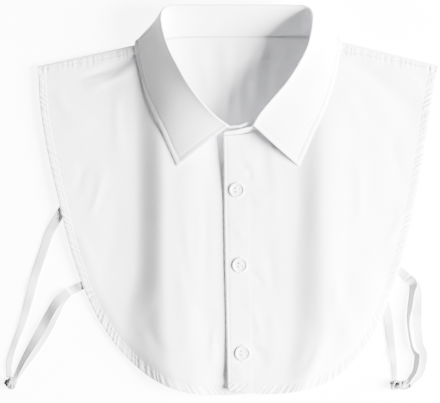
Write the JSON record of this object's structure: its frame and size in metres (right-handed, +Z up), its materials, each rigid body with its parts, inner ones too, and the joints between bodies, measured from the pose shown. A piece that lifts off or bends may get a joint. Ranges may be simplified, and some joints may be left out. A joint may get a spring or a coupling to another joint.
{
  "type": "detachable shirt collar",
  "caption": "Detachable white shirt collar with a button front, a short back panel and elastic side straps, lying flat with its front up.",
  "frame": {"origin": "on the flat underside of the back panel, where it rests, under the buttoning line and half way down the garment", "axes": "+Z up from the table through the front of the garment, +Y towards the back of the neck, +X towards the wearer's left side"},
  "size_m": [0.3809, 0.3433, 0.0324],
  "materials": {
    "white_cotton": "matte poplin",
    "white_elastic": "matte knitted elastic",
    "pearl_plastic": "pearl white, glossy"
  },
  "bodies": {
    "root": {"back_panel": "white_cotton", "front_under": "white_cotton", "front_over": "white_cotton", "collar_stand": "white_cotton", "collar_leaf": "white_cotton", "button_top": "pearl_plastic", "button_middle": "pearl_plastic", "button_bottom": "pearl_plastic", "strap_back_left": "white_elastic", "strap_back_right": "white_elastic", "strap_tab_left": "white_elastic", "strap_tab_right": "white_elastic", "strap_loop_left": "white_elastic", "strap_loop_right": "white_elastic", "strap_link_left": "white_elastic", "strap_link_right": "white_elastic"}
  },
  "joints": []
}
